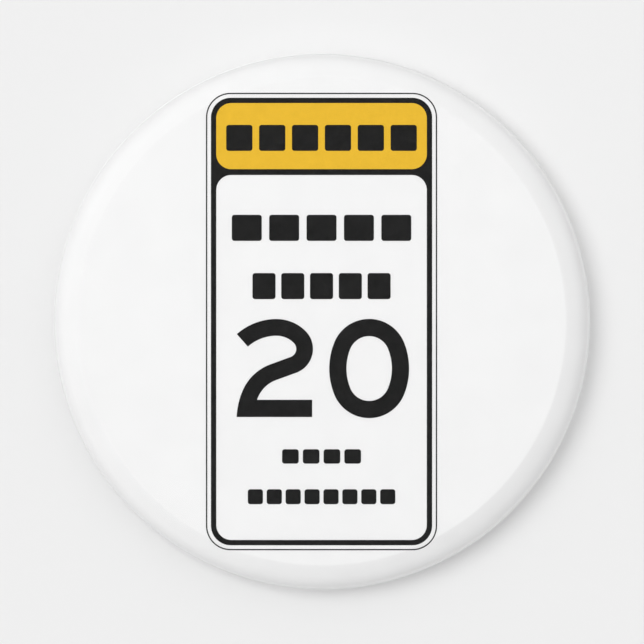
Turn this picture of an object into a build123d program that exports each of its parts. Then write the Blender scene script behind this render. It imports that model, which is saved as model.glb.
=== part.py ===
from build123d import *
import math
import os

# A round button magnet, 2 1/4 inches across, as it hangs on an upright steel door.
# Millimetres. The origin is the centre of the magnet's rear face, which touches the
# door. +X is to the right, +Z is up, and the printed face looks along -Y.
# "Depth" below is the distance in front of the door, so it grows along -Y.

# ---- the button's outside, which is the surface of its clear film ----
BUTTON_RADIUS = 57.15 / 2
FRONT_DEPTH = 6.3          # the highest point of the domed face
REAR_DEPTH = 0.8           # the rolled edge stays this far off the door
DOME_RADIUS = 320.0
DOME_EDGE = 25.85          # where the dome ends and the rim begins
SHOULDER_RADIUS = 1.0      # the crease between the face and the rim
SHOULDER_TURN = 20.0
BEVEL_RADIUS = 8.0         # the almost flat band of the rim
BEVEL_TURN = 8.0
CURL_END_TURN = 140.0      # how far the edge rolls in, past the widest point

# ---- the pressed stack, from the outside in ----
FILM = 0.10
PAPER = 0.15
SHELL = 0.28
INK = 0.04                 # depth of a coat of print in the paper

# ---- the tinplate back, a shallow pan with a flat bead and a lip round its edge ----
BACK = 0.28
BACK_FLOOR_DEPTH = 3.4     # the rear side of its flat middle
BACK_FLOOR_RADIUS = 23.2
BACK_BEND = 0.7            # both bends of the wall, at the middle of the sheet
BEAD_DEPTH = 1.0           # the rear side of the bead
BEAD_FLAT = 0.9
LIP_BENDS = (0.65, 0.57)
LIP_BEND_TURN = 60.0
LIP_LENGTH = 0.8           # the rolled edge hooks over the rear of this lip

# ---- the magnet and its glue ----
MAGNET_RADIUS = 25.4 / 2
MAGNET_THICKNESS = 3.0
MAGNET_CHAMFER = 0.25
GLUE_RADIUS = 13.5         # the glue squeezes out a little past the magnet
GLUE_CLIMB = 0.4           # how far it stands up the magnet's side
GLUE_WAIST = 0.3           # how far its hollow fillet stands off the magnet, level with its front

# ---- the printed sign ----
SIGN_LEFT = 0.05           # the print sits this far left of the middle of the face
OUTLINE_WIDTH = 24.6
OUTLINE_HEIGHT = 48.7
OUTLINE_CORNER = 2.6
OUTLINE_LINE = 0.13
OUTLINE_GAP = 0.40         # white between the thin outline and the black border
BORDER_CORNER = 2.1
BORDER_LINE = 0.56
PANEL_CORNER = 1.6
PANEL_SPLIT = 0.62         # the black bar between the two panels
HEADER_HEIGHT = 7.04

# Rows of plain blocks, where a sign has words: centre height, letter height, width of
# the whole row, number of blocks.
BLOCK_ROWS = [
    (19.55, 4.20, 20.3, 6),
    (9.97, 4.20, 19.1, 5),
    (3.77, 4.20, 14.7, 5),
    (-14.36, 2.32, 8.4, 4),
    (-18.65, 2.41, 15.7, 8),
]
BLOCK_SHARE = 0.66         # a block's height, as a share of the letter height
BLOCK_GAP_SHARE = 0.2      # the gap, as a share of the pitch
BLOCK_CORNER = 0.28

# Numerals
ZERO_STROKE = 1.83
ZERO_CENTRE = (5.07, -5.0)
ZERO_HALF_WIDTH = 4.25
ZERO_HALF_HEIGHT = 5.28
ZERO_END_RADIUS = 4.0
TWO_STROKE = 1.78
TWO_START = (-8.43, -2.0)
TWO_HEADING = 41.5
TWO_STEPS = [(5.5, -41), (3.5, -45.5), (1.8, -115), (2.3, 0), (4.2, 46), (7, 24)]
TWO_FOOT = (-8.05, -10.16, -1.0, -8.33)   # left, bottom, right, top

PROFILE = Plane(origin=(0, 0, 0), x_dir=(1, 0, 0), z_dir=(0, 0, -1))


def beside(point, heading, offset):
    """The point that lies offset to the right of a heading."""
    angle = math.radians(heading)
    return (point[0] + offset * math.sin(angle), point[1] - offset * math.cos(angle))


def moved(point, heading, size, turn):
    """Where a step ends: an arc of radius size and angle turn, or a run if turn is 0."""
    angle = math.radians(heading)
    if turn == 0:
        return (point[0] + size * math.cos(angle), point[1] + size * math.sin(angle))
    side = -size if turn > 0 else size
    centre = beside(point, heading, side)
    return beside(centre, heading + turn, -side)


def ribbon(start, heading, steps, near, far):
    """The face between two curves, near and far to the right of a path of arcs and runs."""
    sides = {near: [], far: []}
    point = start
    for size, turn in steps:
        middle = moved(point, heading, size, turn / 2)
        end = moved(point, heading, size, turn)
        for offset, edges in sides.items():
            first = beside(point, heading, offset)
            last = beside(end, heading + turn, offset)
            if turn == 0:
                edges.append(Line(first, last))
            else:
                halfway = beside(middle, heading + turn / 2, offset)
                edges.append(ThreePointArc(first, halfway, last))
        point = end
        heading += turn
    near_edges = sides[near]
    far_edges = sides[far]
    caps = [Line(near_edges[0] @ 0, far_edges[0] @ 0), Line(near_edges[-1] @ 1, far_edges[-1] @ 1)]
    return make_face(near_edges + far_edges + caps)


def turned(face):
    """Revolve a face of radius and depth about the button's axis."""
    return revolve(PROFILE * face, Axis.Y, 360)


def ring(inner, outer, low, high):
    """A closed rectangle between two radii and two depths."""
    return Pos((inner + outer) / 2, (low + high) / 2) * Rectangle(outer - inner, high - low)


def stack_steps():
    """The outer surface of the button, from the middle of the face to the rolled edge."""
    dome_turn = math.degrees(math.asin(DOME_EDGE / DOME_RADIUS))
    steps = [(DOME_RADIUS, -dome_turn), (SHOULDER_RADIUS, -SHOULDER_TURN), (BEVEL_RADIUS, -BEVEL_TURN)]
    point = (0, FRONT_DEPTH)
    heading = 0
    for size, turn in steps:
        point = moved(point, heading, size, turn)
        heading += turn
    slope = math.radians(-heading)
    rim_radius = (BUTTON_RADIUS - point[0]) / (1 - math.sin(slope))
    widest_depth = point[1] - rim_radius * math.cos(slope)
    curl_radius = widest_depth - REAR_DEPTH
    steps.append((rim_radius, -90 - heading))
    steps.append((curl_radius, -CURL_END_TURN))
    return steps


def layer(near, far, steps):
    """One pressed layer, between two depths below the outer surface."""
    return turned(ribbon((0, FRONT_DEPTH), 0, steps, near, far))


def back_plate():
    """Flat middle, wall to the rear, flat bead, and a step forward to the lip."""
    wall = BACK_FLOOR_DEPTH - BEAD_DEPTH - 2 * BACK_BEND
    steps = [
        (BACK_FLOOR_RADIUS, 0),
        (BACK_BEND, -90),
        (wall, 0),
        (BACK_BEND, 90),
        (BEAD_FLAT, 0),
        (LIP_BENDS[0], LIP_BEND_TURN),
        (LIP_BENDS[1], -LIP_BEND_TURN),
        (LIP_LENGTH, 0),
    ]
    start = (0, BACK_FLOOR_DEPTH + BACK / 2)
    return turned(ribbon(start, 0, steps, -BACK / 2, BACK / 2))


def magnet_disc():
    section = ring(0, MAGNET_RADIUS, 0, MAGNET_THICKNESS)
    outer = section.vertices().filter_by(lambda v: v.X > MAGNET_RADIUS / 2)
    return turned(chamfer(outer, MAGNET_CHAMFER))


def glue_disc():
    """A thin pad that fills the chamfer and ends in a hollow fillet round the magnet."""
    foot = (GLUE_RADIUS, BACK_FLOOR_DEPTH)
    edge = (MAGNET_RADIUS, MAGNET_THICKNESS - GLUE_CLIMB)
    waist = (MAGNET_RADIUS + GLUE_WAIST, MAGNET_THICKNESS)
    corner = (MAGNET_RADIUS, MAGNET_THICKNESS - MAGNET_CHAMFER)
    shelf = (MAGNET_RADIUS - MAGNET_CHAMFER, MAGNET_THICKNESS)
    pad = Polyline((0, BACK_FLOOR_DEPTH), foot)
    rest = Polyline(edge, corner, shelf, (0, MAGNET_THICKNESS), (0, BACK_FLOOR_DEPTH))
    return turned(make_face([pad, ThreePointArc(foot, waist, edge), rest]))


def rounded(width, height, corner, centre_height=0):
    return Pos(0, centre_height) * RectangleRounded(width, height, corner)


def sign_sketches():
    """The print, colour by colour, as flat sketches of width and height."""
    border_inset = 2 * (OUTLINE_LINE + OUTLINE_GAP)
    border_width = OUTLINE_WIDTH - border_inset
    border_height = OUTLINE_HEIGHT - border_inset
    panel_width = border_width - 2 * BORDER_LINE
    panel_top = border_height / 2 - BORDER_LINE
    header_bottom = panel_top - HEADER_HEIGHT
    body_top = header_bottom - PANEL_SPLIT
    body_height = body_top + panel_top

    outline = rounded(OUTLINE_WIDTH, OUTLINE_HEIGHT, OUTLINE_CORNER) - rounded(
        OUTLINE_WIDTH - 2 * OUTLINE_LINE, OUTLINE_HEIGHT - 2 * OUTLINE_LINE, OUTLINE_CORNER - OUTLINE_LINE
    )
    header = rounded(panel_width, HEADER_HEIGHT, PANEL_CORNER, (panel_top + header_bottom) / 2)
    body = rounded(panel_width, body_height, PANEL_CORNER, body_top - body_height / 2)
    border = rounded(border_width, border_height, BORDER_CORNER) - header - body
    blocks = block_sketches()
    return {
        "ink_outline": [outline],
        "ink_border": [border],
        "ink_header_panel": [header - blocks[0]],
        "ink_numerals": [numeral_two(), numeral_zero()],
        "ink_word_blocks": blocks,
    }


def block_sketches():
    """One sketch for each row: equal rounded blocks, side by side."""
    rows = []
    for centre_height, letter_height, width, count in BLOCK_ROWS:
        pitch = width / (count - BLOCK_GAP_SHARE)
        block = RectangleRounded(pitch * (1 - BLOCK_GAP_SHARE), letter_height * BLOCK_SHARE, BLOCK_CORNER)
        places = [Pos((i - (count - 1) / 2) * pitch, centre_height) for i in range(count)]
        rows.append(Sketch() + [place * block for place in places])
    return rows


def oval(half_width, half_height, end_radius):
    """An upright oval of four tangent arcs: two at its ends and two wider ones at its sides."""
    end_centre = half_height - end_radius
    side_radius = (half_width**2 + end_centre**2 - end_radius**2) / (2 * (half_width - end_radius))
    share = end_radius / (side_radius - end_radius)
    x = share * (side_radius - half_width)      # where an end arc meets a side arc
    y = end_centre + share * end_centre
    arcs = [
        ThreePointArc((-x, y), (0, half_height), (x, y)),
        ThreePointArc((x, y), (half_width, 0), (x, -y)),
        ThreePointArc((x, -y), (0, -half_height), (-x, -y)),
        ThreePointArc((-x, -y), (-half_width, 0), (-x, y)),
    ]
    return make_face(arcs)


def numeral_zero():
    """An oval stroke of even width."""
    sizes = (ZERO_HALF_WIDTH, ZERO_HALF_HEIGHT, ZERO_END_RADIUS)
    outer = oval(*sizes)
    inner = oval(*[size - ZERO_STROKE for size in sizes])
    return Pos(*ZERO_CENTRE) * (outer - inner)


def numeral_two():
    left, bottom, right, top = TWO_FOOT
    foot = Pos((left + right) / 2, (bottom + top) / 2) * Rectangle(right - left, top - bottom)
    hook = ribbon(TWO_START, TWO_HEADING, TWO_STEPS, -TWO_STROKE / 2, TWO_STROKE / 2)
    below = Pos(0, bottom - OUTLINE_HEIGHT / 2) * Rectangle(OUTLINE_WIDTH, OUTLINE_HEIGHT)
    return foot + (hook - below)


def printed(sketches, coat):
    """Lay flat sketches into a thin coat that follows the face."""
    solids = []
    for sketch in sketches:
        prism = extrude(Plane.XZ * Pos(-SIGN_LEFT, 0) * sketch, 2 * FRONT_DEPTH)
        solids += (prism & coat).solids()
    return Compound(solids)


def main():
    os.makedirs("parts", exist_ok=True)
    steps = stack_steps()
    paper_top = FILM
    shell_top = FILM + PAPER
    coat = layer(paper_top, paper_top + INK, steps[:4])
    parts = {name: printed(sketches, coat) for name, sketches in sign_sketches().items()}

    paper = layer(paper_top, shell_top, steps)
    for ink in parts.values():
        paper = paper - ink
    parts["printed_paper"] = paper
    parts["clear_film"] = layer(0, FILM, steps)
    parts["front_shell"] = layer(shell_top, shell_top + SHELL, steps)
    parts["back_plate"] = back_plate()
    parts["glue_disc"] = glue_disc()
    parts["magnet_disc"] = magnet_disc()

    for name, shape in parts.items():
        export_step(shape, f"parts/{name}.step")


main()
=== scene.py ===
import math
import random

import bpy
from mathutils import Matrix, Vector, noise


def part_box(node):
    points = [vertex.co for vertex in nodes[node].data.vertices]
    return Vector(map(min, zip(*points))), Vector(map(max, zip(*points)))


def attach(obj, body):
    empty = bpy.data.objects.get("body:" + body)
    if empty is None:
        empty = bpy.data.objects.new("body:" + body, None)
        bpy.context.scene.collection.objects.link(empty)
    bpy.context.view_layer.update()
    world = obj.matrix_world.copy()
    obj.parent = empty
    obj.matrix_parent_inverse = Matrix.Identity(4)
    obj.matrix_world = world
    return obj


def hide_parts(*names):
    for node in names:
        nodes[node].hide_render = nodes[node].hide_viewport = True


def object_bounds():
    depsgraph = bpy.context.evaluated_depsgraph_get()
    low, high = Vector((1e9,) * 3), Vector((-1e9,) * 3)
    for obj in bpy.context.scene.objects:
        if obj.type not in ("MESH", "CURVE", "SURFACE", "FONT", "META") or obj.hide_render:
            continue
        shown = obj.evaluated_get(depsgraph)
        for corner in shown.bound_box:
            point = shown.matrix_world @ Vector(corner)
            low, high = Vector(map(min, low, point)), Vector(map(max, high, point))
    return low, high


# A round button magnet, as it hangs on an upright pale door. Metres, in the CAD frame:
# the origin is the centre of the magnet's rear face, and the printed face looks along
# -Y. "Depth" is the distance in front of the door, so it grows along -Y.

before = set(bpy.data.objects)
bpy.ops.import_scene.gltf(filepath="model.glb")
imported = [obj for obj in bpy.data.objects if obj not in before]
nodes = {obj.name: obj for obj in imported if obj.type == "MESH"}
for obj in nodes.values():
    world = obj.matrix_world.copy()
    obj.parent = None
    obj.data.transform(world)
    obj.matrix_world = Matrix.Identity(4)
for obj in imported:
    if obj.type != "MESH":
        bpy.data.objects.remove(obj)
cad_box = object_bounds()
random.seed(11)

MM = 0.001
BODY = "root"

# ---- the pressed stack, from the same dimensions as the CAD part ----
BUTTON_RADIUS = cad_box[1].x
FRONT_DEPTH = -cad_box[0].y
REAR_DEPTH = -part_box("clear_film")[1].y
DOME_RADIUS = 320 * MM
DOME_EDGE = 25.85 * MM
SHOULDER = (1.0 * MM, 20.0)     # radius and turn in degrees of the crease
BEVEL = (8.0 * MM, 8.0)         # the almost flat band of the rim
CURL_END_TURN = 140.0
FILM = 0.10 * MM
PAPER = 0.15 * MM
INK_PROUD = 0.02 * MM           # the print stands this far out of the paper
FILM_GAP = 0.015 * MM           # air between the print and the film

# ---- the back ----
SHEET = 0.28 * MM
FLOOR_DEPTH = 3.4 * MM
FLOOR_RADIUS = 23.2 * MM
BACK_BEND = 0.7 * MM
BEAD_DEPTH = 1.0 * MM
BEAD_FLAT = 0.9 * MM
LIP_BENDS = (0.65 * MM, 0.57 * MM)
LIP_TURN = 60.0
LIP_LENGTH = 0.8 * MM
MAGNET_CHAMFER = 0.25 * MM

AROUND = 480                    # steps round the axis in a turned piece

# ---- the pleats where film and paper roll over the edge ----
PLEATS = 64
STEPS_PER_PLEAT = 12
PLEAT_HEIGHT = 0.32 * MM
PLEAT_STEEPNESS = 0.3           # a fold leans over, so one side is much shorter
PLEAT_HEADINGS = (-100.0, -165.0, -230.0)   # where pleats begin, stand highest, and end
PLEAT_END_SHARE = 0.45          # the metal back presses their ends down

# ---- small unevenness of the back, the magnet and the glue ----
WAVE_HEIGHT = 0.05 * MM
WAVE_SCALE = 90                 # about this many waves to the metre
WAVE_START = 13.6 * MM          # just outside the glue
WAVE_FADES = (5 * MM, 2 * MM)   # they rise over the first width, and die out over the second
WAVE_LEAST_DEPTH = 2.5 * MM     # only the flat middle is more than this in front of the door
CHIPS = 26
CHIP_INSET = 0.7 * MM           # a chip reaches this far in from the side
CHIP_HEIGHT = 0.8 * MM          # and this far along it from the edge
GLUE_SAG = 0.12 * MM            # how hollow the glue's fillet is
GLUE_LEAST_SHARE = 0.06         # where there is least, this share of the squeezed-out glue is left


# ---------------------------------------------------------------- turned shapes

def beside(point, heading, offset):
    """The point that lies offset to the right of a heading in degrees."""
    angle = math.radians(heading)
    return (point[0] + offset * math.sin(angle), point[1] - offset * math.cos(angle))


def moved(point, heading, size, turn):
    """Where a step ends: an arc of radius size and angle turn, or a run if turn is 0."""
    angle = math.radians(heading)
    if turn == 0:
        return (point[0] + size * math.cos(angle), point[1] + size * math.sin(angle))
    side = -size if turn > 0 else size
    centre = beside(point, heading, side)
    return beside(centre, heading + turn, -side)


def walk(start, steps, offset, fineness):
    """Points of radius and depth at an offset to the right of a path, with headings."""
    points = [(beside(start, 0, offset), 0)]
    point = start
    heading = 0
    for (size, turn), pieces in zip(steps, fineness):
        for i in range(1, pieces + 1):
            share = i / pieces
            if turn:
                on_path = moved(point, heading, size, turn * share)
            else:
                on_path = moved(point, heading, size * share, 0)
            points.append((beside(on_path, heading + turn * share, offset), heading + turn * share))
        point = moved(point, heading, size, turn)
        heading += turn
    return points


def turned(name, points, warp=None, around=AROUND):
    """A closed piece turned about the Y axis. warp moves a point, given its place."""
    verts = []
    faces = []
    rings = []
    for (radius, depth), heading in points:
        if radius < 1e-9:
            rings.append([len(verts)])
            verts.append((0, -depth, 0))
            continue
        ring = []
        for i in range(around):
            angle = 2 * math.pi * i / around
            r, d = warp(radius, depth, heading, angle) if warp else (radius, depth)
            ring.append(len(verts))
            verts.append((r * math.cos(angle), -d, r * math.sin(angle)))
        rings.append(ring)
    for a, b in zip(rings, rings[1:]):
        for i in range(around):
            j = (i + 1) % around
            if len(a) == 1:
                faces.append((a[0], b[i], b[j]))
            elif len(b) == 1:
                faces.append((a[i], b[0], a[j]))
            else:
                faces.append((a[i], b[i], b[j], a[j]))
    mesh = bpy.data.meshes.new(name)
    mesh.from_pydata(verts, [], faces)
    mesh.polygons.foreach_set("use_smooth", [True] * len(mesh.polygons))
    mesh.set_sharp_from_angle(angle=math.radians(35))
    mesh.validate()
    piece = bpy.data.objects.new(name, mesh)
    bpy.context.scene.collection.objects.link(piece)
    return piece


def stand_for(piece, node, slot, *materials):
    """A piece that takes the place of one CAD node."""
    for m in materials:
        piece.data.materials.append(m)
    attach(piece, BODY)
    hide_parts(node)
    return piece


def stack_steps():
    """The outer surface of the button, from the middle of the face to the rolled edge."""
    dome_turn = math.degrees(math.asin(DOME_EDGE / DOME_RADIUS))
    steps = [(DOME_RADIUS, -dome_turn), (SHOULDER[0], -SHOULDER[1]), (BEVEL[0], -BEVEL[1])]
    point = (0, FRONT_DEPTH)
    heading = 0
    for size, turn in steps:
        point = moved(point, heading, size, turn)
        heading += turn
    slope = math.radians(-heading)
    rim_radius = (BUTTON_RADIUS - point[0]) / (1 - math.sin(slope))
    widest_depth = point[1] - rim_radius * math.cos(slope)
    return steps + [(rim_radius, -90 - heading), (widest_depth - REAR_DEPTH, -CURL_END_TURN)]


STACK_STEPS = stack_steps()
STACK_FINENESS = (6, 6, 4, 12, 20)


def shell_between(name, near, far, warp=None):
    """A pressed layer between two depths below the outer surface."""
    start = (0, FRONT_DEPTH)
    outside = walk(start, STACK_STEPS, near, STACK_FINENESS)
    inside = walk(start, STACK_STEPS, far, STACK_FINENESS)
    return turned(name, outside + inside[::-1], warp, PLEATS * STEPS_PER_PLEAT)


# ---------------------------------------------------------------- materials

class Nodes:
    """The nodes of a material or a world, with short calls for adding and joining them."""

    def __init__(self, data, output="ShaderNodeOutputMaterial", place="Object"):
        self.data = data
        self.data.use_nodes = True
        self.tree = self.data.node_tree
        self.tree.nodes.clear()
        self.output = self.add(output)
        self.place = self.add("ShaderNodeTexCoord").outputs[place]

    def add(self, kind, settings=None, **inputs):
        """A new node. Inputs go by name, or by number as _0, _1 and so on."""
        node = self.tree.nodes.new(kind)
        for key, value in (settings or {}).items():
            setattr(node, key, value)
        for key, value in inputs.items():
            which = int(key[1:]) if key[1:].isdigit() else key.replace("_", " ")
            self.feed(node.inputs[which], value)
        return node

    def feed(self, socket, value):
        if isinstance(value, bpy.types.NodeSocket):
            self.tree.links.new(value, socket)
        else:
            socket.default_value = value

    def scaled_place(self, x, y, z):
        return self.add("ShaderNodeMapping", Vector=self.place, Scale=(x, y, z)).outputs[0]

    def noise(self, scale, detail=3, rough=0.55, place=None):
        sizes = {"Scale": scale, "Detail": detail, "Roughness": rough}
        return self.add("ShaderNodeTexNoise", Vector=place or self.place, **sizes).outputs["Fac"]

    def spread(self, value, low, high, start=0.0, end=1.0):
        """value from start to end becomes low to high, and stays there beyond."""
        ends = {"From_Min": start, "From_Max": end, "To_Min": low, "To_Max": high}
        return self.add("ShaderNodeMapRange", Value=value, **ends).outputs[0]

    def maths(self, operation, first, second=0.0):
        return self.add("ShaderNodeMath", {"operation": operation}, _0=first, _1=second).outputs[0]

    def colours(self, share, first, second):
        """A blend of two colours, each three numbers or the output of another node."""
        ends = [c if isinstance(c, bpy.types.NodeSocket) else (*c, 1) for c in (first, second)]
        node = self.add("ShaderNodeMix", {"data_type": "RGBA"}, _0=share, _6=ends[0], _7=ends[1])
        return node.outputs[2]

    def either(self, share, first, second):
        """A blend of two shaders."""
        return self.add("ShaderNodeMixShader", Fac=share, _1=first, _2=second).outputs[0]

    def bump(self, height, strength, distance, under=None):
        node = self.add("ShaderNodeBump", Height=height, Strength=strength, Distance=distance)
        if under is not None:
            self.feed(node.inputs["Normal"], under)
        return node.outputs[0]

    def shine(self, shader):
        self.feed(self.output.inputs["Surface"], shader)
        return self.data

    def finished(self, **inputs):
        """End in one general shader, and hand back the finished material."""
        return self.shine(self.add("ShaderNodeBsdfPrincipled", **inputs).outputs[0])


def film_material():
    """Clear polyester: a mirror of a few percent, more at a slant, over what is behind."""
    m = Nodes(bpy.data.materials.new("clear_film"))
    peel = m.noise(700, 3)
    streaks = m.noise(60, 4, 0.7, m.scaled_place(1, 1, 34))
    cross = m.noise(52, 4, 0.7, m.scaled_place(40, 1, 1.6))
    streaks = m.spread(streaks, 0, 1, 0.66, 0.7)
    cross = m.spread(cross, 0, 1, 0.68, 0.72)
    scratches = m.maths("MAXIMUM", streaks, cross)
    smear = m.noise(90, 3)
    wear = m.maths("ADD", m.spread(smear, 0.05, 0.1, 0.4, 0.7), m.maths("MULTIPLY", scratches, 0.1))
    normal = m.bump(peel, 0.035, 0.02 * MM)
    facing = m.add("ShaderNodeLayerWeight", Blend=0.5, Normal=normal).outputs["Facing"]
    mirror = m.maths("MULTIPLY_ADD", m.maths("POWER", facing, 5.0), 0.96)
    m.feed(mirror.node.inputs[2], 0.04)
    gloss = m.add("ShaderNodeBsdfGlossy", Color=(1, 1, 1, 1), Roughness=wear, Normal=normal)
    clear = m.add("ShaderNodeBsdfTransparent", Color=(1, 1, 1, 1))
    return m.shine(m.either(mirror, clear.outputs[0], gloss.outputs[0]))


def film_underside():
    """The rear of the film adds no second reflection."""
    m = Nodes(bpy.data.materials.new("clear_film_underside"))
    return m.shine(m.add("ShaderNodeBsdfTransparent", Color=(1, 1, 1, 1)).outputs[0])


PAPER_TONES = ((0.857, 0.857, 0.857), (0.872, 0.872, 0.872))


def paper_material():
    """Coated white stock, with faint cloudiness and a fine tooth."""
    m = Nodes(bpy.data.materials.new("white_paper"))
    cloud = m.noise(260, 4, 0.6)
    tooth = m.noise(5200, 2)
    colour = m.colours(m.spread(cloud, 0, 1, 0.35, 0.65), *PAPER_TONES)
    normal = m.bump(tooth, 0.12, 0.01 * MM)
    rough = m.spread(cloud, 0.55, 0.68, 0.3, 0.7)
    return m.finished(Base_Color=colour, Roughness=rough, Normal=normal, Specular_IOR_Level=0.2)


def print_material(name, dark, light):
    """Toner on paper: a solid colour with the fine mottle and grain of a laser print."""
    m = Nodes(bpy.data.materials.new(name))
    mottle = m.noise(900, 4, 0.6)
    grain = m.noise(4200, 2)
    share = m.maths("ADD", m.spread(mottle, 0, 0.65, 0.35, 0.65), m.spread(grain, 0, 0.35, 0.35, 0.7))
    colour = m.colours(share, dark, light)
    normal = m.bump(grain, 0.15, 0.008 * MM)
    rough = m.spread(mottle, 0.42, 0.6, 0.3, 0.7)
    return m.finished(Base_Color=colour, Roughness=rough, Normal=normal, Specular_IOR_Level=0.2)


def tinplate_material():
    """Tinned sheet steel: fine rolling lines one way, a cloudy tin bloom and a few spots."""
    m = Nodes(bpy.data.materials.new("tinplate"))
    lines = m.noise(190, 5, 0.65, m.scaled_place(1, 1, 26))
    fine = m.noise(700, 3, 0.6, m.scaled_place(1, 1, 30))
    bloom = m.noise(120, 5, 0.62)
    spots = m.spread(m.noise(420, 5, 0.7), 0, 1, 0.69, 0.76)
    clean = m.colours(m.spread(bloom, 0, 1, 0.35, 0.68), (0.62, 0.63, 0.64), (0.78, 0.78, 0.765))
    tin = m.colours(spots, clean, (0.3, 0.27, 0.22))
    rough = m.maths("ADD", m.spread(lines, 0.2, 0.4, 0.3, 0.7), m.spread(bloom, 0, 0.12, 0.4, 0.7))
    swell = m.noise(75, 2)
    swelled = m.bump(swell, 0.8, 0.6 * MM)
    lined = m.bump(lines, 0.35, 0.015 * MM, swelled)
    normal = m.bump(fine, 0.2, 0.01 * MM, lined)
    return m.finished(Base_Color=tin, Metallic=1.0, Roughness=rough, Normal=normal, Anisotropic=0.35)


def ferrite_material():
    """Sintered ferrite: charcoal, with fine glints painted into its colour as lighter specks, pores,
    grinding lines and dust.
    """
    m = Nodes(bpy.data.materials.new("ferrite"))
    grain = m.noise(2600, 4, 0.7)
    clouds = m.noise(210, 5, 0.65)
    grind = m.noise(260, 5, 0.7, m.scaled_place(22, 1, 1.5))
    pores = m.spread(m.noise(1500, 3, 0.6), 0, 1, 0.64, 0.7)
    # Painted highlight: fine glints of light off the grains, painted as lighter specks in the base
    # colour.
    painted_glints = m.spread(m.noise(5200, 2, 0.6), 0, 0.5, 0.64, 0.72)
    patches = m.spread(m.noise(330, 6, 0.75), 0, 0.55, 0.5, 0.72)
    dust = m.maths("MULTIPLY", patches, m.spread(grain, 0.2, 1, 0.35, 0.65))
    share = m.maths("ADD", m.spread(clouds, 0, 0.4, 0.35, 0.65), m.spread(grind, 0, 0.55, 0.4, 0.62))
    stone = m.colours(share, (0.03, 0.031, 0.034), (0.13, 0.13, 0.136))
    dusty = m.colours(dust, stone, (0.2, 0.195, 0.185))
    # The painted glints lighten the colour here.
    dusty_with_painted_glints = m.colours(painted_glints, dusty, (0.3, 0.3, 0.32))
    colour = m.colours(pores, dusty_with_painted_glints, (0.012, 0.012, 0.013))
    rough = m.maths("SUBTRACT", m.spread(grind, 0.42, 0.68, 0.3, 0.7), m.spread(grain, 0, 0.2, 0.6, 0.8))
    relief = m.bump(grind, 0.5, 0.04 * MM, m.bump(pores, -0.6, 0.05 * MM))
    normal = m.bump(grain, 0.35, 0.02 * MM, relief)
    return m.finished(Base_Color=colour, Roughness=rough, Normal=normal, Specular_IOR_Level=0.5)


def glue_material():
    """Set contact glue: cloudy, a little yellow, and shiny where it was squeezed out."""
    m = Nodes(bpy.data.materials.new("glue"))
    cloud = m.noise(900, 4, 0.6)
    ripple = m.noise(1600, 3)
    colour = m.colours(m.spread(cloud, 0, 1, 0.3, 0.7), (0.6, 0.54, 0.39), (0.8, 0.76, 0.64))
    normal = m.bump(ripple, 0.3, 0.03 * MM)
    rough = m.spread(cloud, 0.1, 0.28, 0.35, 0.65)
    return m.finished(Base_Color=colour, Roughness=rough, Normal=normal, Transmission_Weight=0.25)


film = film_material()
film_inside = film_underside()
paper_white = paper_material()
black = print_material("black_print", (0.012, 0.012, 0.012), (0.018, 0.018, 0.018))
amber = print_material("amber_print", (0.77, 0.465, 0.025), (0.82, 0.50, 0.031))
tinplate = tinplate_material()
ferrite = ferrite_material()
glue = glue_material()


# ---------------------------------------------------------------- film and paper

pleat_heights = [random.uniform(0.2, 1.0) for _ in range(PLEATS)]
pleat_shifts = [random.uniform(-0.2, 0.2) for _ in range(PLEATS)]
pleat_widths = [random.uniform(0.12, 0.3) for _ in range(PLEATS)]


def pleat(radius, depth, heading, angle):
    """Film and paper gather into small radial pleats where they roll over the edge."""
    first, highest, last = PLEAT_HEADINGS
    if heading > first:
        return radius, depth
    rise = min(1.0, (first - heading) / (first - highest))
    fall = max(0.0, (highest - heading) / (highest - last))
    along = angle / (2 * math.pi) * PLEATS
    index = int(along) % PLEATS
    within = along % 1 - 0.5 - pleat_shifts[index]
    width = pleat_widths[index] * (PLEAT_STEEPNESS if within > 0 else 1.0)
    ridge = math.exp(-(within / width) ** 2)
    strength = rise ** 1.3 * (1 - fall * (1 - PLEAT_END_SHARE))
    lift = PLEAT_HEIGHT * pleat_heights[index] * ridge * strength
    out = math.radians(-heading)
    return radius + lift * math.sin(out), depth + lift * math.cos(out)


clear = shell_between("film", 0, FILM - FILM_GAP, pleat)
stand_for(clear, "clear_film", "clear_film", film, film_inside)
half = len(clear.data.polygons) // 2
for index, polygon in enumerate(clear.data.polygons):
    polygon.material_index = int(index >= half)

sheet = shell_between("paper", FILM + INK_PROUD, FILM + PAPER, pleat)
stand_for(sheet, "printed_paper", "white_paper", paper_white)


def paint(node, material):
    """A CAD node keeps its shape and gets this material."""
    slots = nodes[node].material_slots
    for slot in slots:
        slot.link = "OBJECT"
        slot.material = material
    if not slots:
        nodes[node].data.materials.append(material)


for node in ("ink_border", "ink_outline", "ink_numerals", "ink_word_blocks"):
    paint(node, black)
paint("ink_header_panel", amber)
paint("front_shell", tinplate)


# ---------------------------------------------------------------- the back

def back_outline():
    """Flat middle, wall to the rear, flat bead, and a step forward to the lip."""
    wall = FLOOR_DEPTH - BEAD_DEPTH - 2 * BACK_BEND
    steps = [
        (FLOOR_RADIUS, 0),
        (BACK_BEND, -90),
        (wall, 0),
        (BACK_BEND, 90),
        (BEAD_FLAT, 0),
        (LIP_BENDS[0], LIP_TURN),
        (LIP_BENDS[1], -LIP_TURN),
        (LIP_LENGTH, 0),
    ]
    fineness = (30, 9, 2, 9, 3, 6, 6, 2)
    start = (0, FLOOR_DEPTH + SHEET / 2)
    front = walk(start, steps, -SHEET / 2, fineness)
    rear = walk(start, steps, SHEET / 2, fineness)
    return front + rear[::-1]


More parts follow.
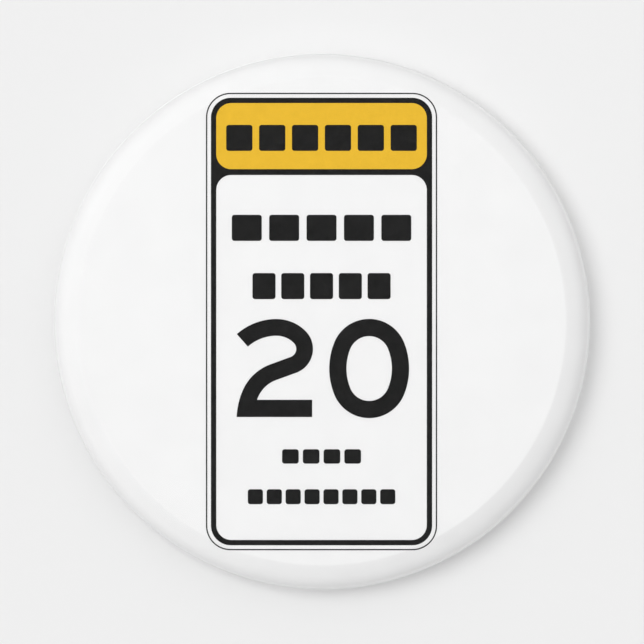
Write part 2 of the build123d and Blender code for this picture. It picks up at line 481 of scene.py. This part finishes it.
def sheet_waves(radius, depth, heading, angle):
    """The flat middle of thin stamped sheet is never quite flat. It only moves forward."""
    if heading != 0 or radius > FLOOR_RADIUS or depth < WAVE_LEAST_DEPTH:
        return radius, depth
    at = Vector((radius * math.cos(angle), radius * math.sin(angle), 0)) * WAVE_SCALE
    fade_in = min(1.0, max(0.0, (radius - WAVE_START) / WAVE_FADES[0]))
    fade_out = min(1.0, (FLOOR_RADIUS - radius) / WAVE_FADES[1])
    return radius, depth + WAVE_HEIGHT * fade_in * fade_out * (0.5 + 0.5 * noise.noise(at))


back = turned("back", back_outline(), sheet_waves)
stand_for(back, "back_plate", "tinplate", tinplate)

magnet_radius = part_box("magnet_disc")[1].x
magnet_thickness = -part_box("magnet_disc")[0].y


def magnet_outline():
    """Rear face, chamfer, side, chamfer and front face, with close rings at the edges."""
    r, t, c = magnet_radius, magnet_thickness, MAGNET_CHAMFER
    inner = r - c
    face_rings = [0, 3 * MM, 6 * MM, 9 * MM, 11 * MM, 11.8 * MM, 12.15 * MM, inner]
    rear = [((x, 0), 180) for x in face_rings]
    rear_chamfer = [((inner + c * k / 3, c * k / 3), 180) for k in (1, 2, 3)]
    side = [((r, c + (t - 2 * c) * k / 10), 90) for k in range(1, 10)]
    front_chamfer = [((r - c * k / 3, t - c + c * k / 3), 0) for k in (0, 1, 2)]
    front = [((x, t), 0) for x in face_rings[::-1]]
    return (rear + rear_chamfer + side + front_chamfer + front)[::-1]


def random_chip():
    """Where round the edge a chip is, its half width, how deep it is, and if it is in front."""
    where = random.uniform(0, 2 * math.pi)
    width = random.uniform(0.3, 1.0) * MM
    deep = random.uniform(0.1, 0.32) * MM
    return where, width, deep, random.choice((0, 0, 0, 1))


chips = [random_chip() for _ in range(CHIPS)]


def chipped(radius, depth, heading, angle):
    """Small bites out of the brittle edges, most of them at the rear."""
    edge_depth = min(depth, magnet_thickness - depth)
    if radius < magnet_radius - CHIP_INSET or edge_depth > CHIP_HEIGHT:
        return radius, depth
    bite = 0.0
    for where, width, deep, front in chips:
        if (depth > magnet_thickness / 2) != bool(front):
            continue
        apart = (angle - where + math.pi) % (2 * math.pi) - math.pi
        reach = abs(apart) * magnet_radius / width
        if reach < 1:
            bite = max(bite, deep * (1 - reach * reach) * (1 - edge_depth / CHIP_HEIGHT))
    at = Vector((radius, depth, angle * magnet_radius)) * 4000
    inward = bite * (0.8 + 0.4 * noise.noise(at))
    lift = inward * 0.6 if depth < magnet_thickness / 2 else -inward * 0.6
    return radius - inward, depth + lift


disc = turned("magnet", magnet_outline(), chipped)
stand_for(disc, "magnet_disc", "ferrite", ferrite)


def glue_outline():
    """A pad in front of the magnet, with a hollow fillet down to the magnet's side."""
    r = magnet_radius
    top, foot = FLOOR_DEPTH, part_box("glue_disc")[1].x
    low = -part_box("glue_disc")[1].y
    points = [(0, top), (6 * MM, top), (r, top), (foot, top)]
    for k in range(1, 7):
        share = k / 7
        sag = math.sin(share * math.pi) * GLUE_SAG
        points.append((foot + (r - foot) * share - sag, top + (low - top) * share + sag))
    points += [(r, low), (r, magnet_thickness - MAGNET_CHAMFER)]
    points += [(x, magnet_thickness) for x in (r - MAGNET_CHAMFER, 6 * MM, 0)]
    return [(p, 0) for p in points]


def squeezed(radius, depth, heading, angle):
    """The squeezed-out glue comes and goes round the magnet."""
    past = radius - magnet_radius
    if past < 0.02 * MM:
        return radius, depth
    at = Vector((math.cos(angle), math.sin(angle), 0))
    spread = 0.5 + 0.7 * noise.noise(at * 2.2)
    spread = spread + 0.35 * noise.noise(at * 8.0) + 0.1 * noise.noise(at * 30.0)
    spread = min(1.0, max(GLUE_LEAST_SHARE, spread))
    return magnet_radius + past * spread, FLOOR_DEPTH - (FLOOR_DEPTH - depth) * (0.5 + 0.5 * spread)


pad = turned("glue_pad", glue_outline(), squeezed)
stand_for(pad, "glue_disc", "glue", glue)


# ---------------------------------------------------------------- stage, light and camera

PALE = (0.775, 0.775, 0.775, 1)
WALL = 0.1                      # half the wall's side
FLOOR = 0.8                     # half the floor's side
FLOOR_HEIGHT = -0.5
WALL_GAP = 0.05 * MM            # the wall stands this far behind the magnet


def stage_material():
    """Plain pale paint. Its rear lets the camera through, so the back can be seen."""
    m = Nodes(bpy.data.materials.new("pale_stage"))
    paint_shader = m.add("ShaderNodeBsdfDiffuse", Color=PALE, Roughness=0.0).outputs[0]
    clear_shader = m.add("ShaderNodeBsdfTransparent").outputs[0]
    behind = m.add("ShaderNodeNewGeometry").outputs["Backfacing"]
    return m.shine(m.either(behind, paint_shader, clear_shader))


CORNERS = ((-1, -1), (1, -1), (1, 1), (-1, 1))


def plane(name, corners, material):
    """A square that belongs to the stage, facing the way its corners turn."""
    mesh = bpy.data.meshes.new(name)
    mesh.from_pydata(corners, [], [(0, 1, 2, 3)])
    mesh.materials.append(material)
    thing = bpy.data.objects.new(name, mesh)
    bpy.context.scene.collection.objects.link(thing)
    return thing


pale = stage_material()
wall = plane("wall", [(x * WALL, WALL_GAP, z * WALL) for x, z in CORNERS], pale)
floor = plane("floor", [(x * FLOOR, y * FLOOR, FLOOR_HEIGHT) for x, y in CORNERS], pale)
for rays in ("visible_glossy", "visible_transmission", "visible_shadow"):
    setattr(wall, rays, False)
floor.visible_glossy = False


def aim(thing, at):
    """Turn a lamp to shine at a point."""
    thing.rotation_mode = "QUATERNION"
    thing.rotation_quaternion = (Vector(at) - thing.location).to_track_quat("-Z", "Y")


def sun(name, direction, spread, strength, receivers=None):
    """Even light from a round patch of sky, spread degrees across, round a direction. With
    receivers, it lights only the pieces in that collection."""
    data = bpy.data.lights.new(name, "SUN")
    data.angle = math.radians(spread)
    data.energy = strength
    lamp = bpy.data.objects.new(name, data)
    lamp.location = direction
    aim(lamp, (0, 0, 0))
    lamp.visible_glossy = False
    lamp.visible_camera = False
    lamp.light_linking.receiver_collection = receivers
    bpy.context.scene.collection.objects.link(lamp)


# How bright the reflected room is, from in front of the face (-1) to behind the back (1)
ROOM = [(-0.6, 0.05), (-0.2, 0.6), (0.2, 0.7), (0.45, 0.6), (0.72, 0.95), (0.92, 0.72)]
# The way to each window, how bright it is, and the cosine at which it fades out
WINDOWS = [
    (Vector((-0.72, -0.52, 0.46)).normalized(), 0.15, 0.72),
    (Vector((-0.7, 0.7, 0.15)).normalized(), 0.25, 0.8),
    (Vector((-0.12, 0.98, 0.18)).normalized(), 0.6, 0.97),
]
ROOM_LOW = (1.2, -0.8)          # reflections are this times as bright at this height or lower
ROOM_HIGH = (0.75, 0.9)         # and this times at this height or higher
FILL_FRONT = (1.01, -1)         # soft light of this strength comes from this far along Y or less
FILL_REAR = (0.46, 0.2)         # and of this strength from this far along Y or more
BACKGROUND = 0.86               # how bright the world looks to the camera


def studio():
    """The world: an even pale background to the eye, soft light that is stronger from in
    front, and in reflections a room, dark straight in front of the face, with three windows."""
    world = bpy.data.worlds.new("studio")
    bpy.context.scene.world = world
    w = Nodes(world, "ShaderNodeOutputWorld", "Generated")
    split = w.add("ShaderNodeSeparateXYZ", Vector=w.place)
    behind = w.spread(split.outputs["Y"], 0, 1, -1, 1)
    ramp = w.add("ShaderNodeValToRGB", Fac=behind)
    stops = ramp.color_ramp.elements
    for place, strength in ROOM:
        stops.new((place + 1) / 2).color = (strength, strength, strength, 1)
    stops.remove(stops[0])
    stops.remove(stops[-1])
    height = w.spread(split.outputs["Z"], ROOM_LOW[0], ROOM_HIGH[0], ROOM_LOW[1], ROOM_HIGH[1])
    room = w.maths("MULTIPLY", ramp.outputs["Color"], height)
    for way, strength, start in WINDOWS:
        towards = w.add("ShaderNodeVectorMath", {"operation": "DOT_PRODUCT"}, _0=w.place, _1=way)
        room = w.maths("ADD", room, w.spread(towards.outputs["Value"], 0, strength, start, 1.0))
    mirrored = w.add("ShaderNodeBackground", Color=(1, 1, 1, 1), Strength=room).outputs[0]
    seen = w.add("ShaderNodeBackground", Color=(1, 1, 1, 1), Strength=BACKGROUND).outputs[0]
    soft = w.spread(split.outputs["Y"], FILL_FRONT[0], FILL_REAR[0], FILL_FRONT[1], FILL_REAR[1])
    fill = w.add("ShaderNodeBackground", Color=(1, 1, 1, 1), Strength=soft).outputs[0]
    path = w.add("ShaderNodeLightPath")
    others = w.either(path.outputs["Is Glossy Ray"], fill, mirrored)
    w.shine(w.either(path.outputs["Is Camera Ray"], others, seen))


studio()
pieces = bpy.data.collections.new("pieces")
for thing in (clear, sheet, back, disc, pad, *nodes.values()):
    pieces.objects.link(thing)
sun("key", (-0.47, -1, 0.22), 34, 1.13)
sun("rear_key", (0.3, 1, 0.45), 10, 1.35, pieces)
sun("rear_fill", (0, 1, 0), 120, 0.3, pieces)

camera_data = bpy.data.cameras.new("camera")
camera_data.sensor_width = 36
camera_data.lens = 1200
camera_data.dof.use_dof = False
camera = bpy.data.objects.new("camera", camera_data)
FRAME_WIDTH = 68.66 * MM        # what the frame takes in at the disc's widest circle
WIDEST_DEPTH = REAR_DEPTH + STACK_STEPS[-1][0]   # the last arc runs from there to the rear
CAMERA_DISTANCE = FRAME_WIDTH * camera_data.lens / camera_data.sensor_width
CAMERA_DROP = 0.05 * MM         # the disc sits this far above the middle of the frame
camera.location = (0, -WIDEST_DEPTH - CAMERA_DISTANCE, -CAMERA_DROP)
camera.rotation_euler = (math.pi / 2, 0, 0)
bpy.context.scene.collection.objects.link(camera)
bpy.context.scene.camera = camera
bpy.context.scene.view_settings.view_transform = "Standard"
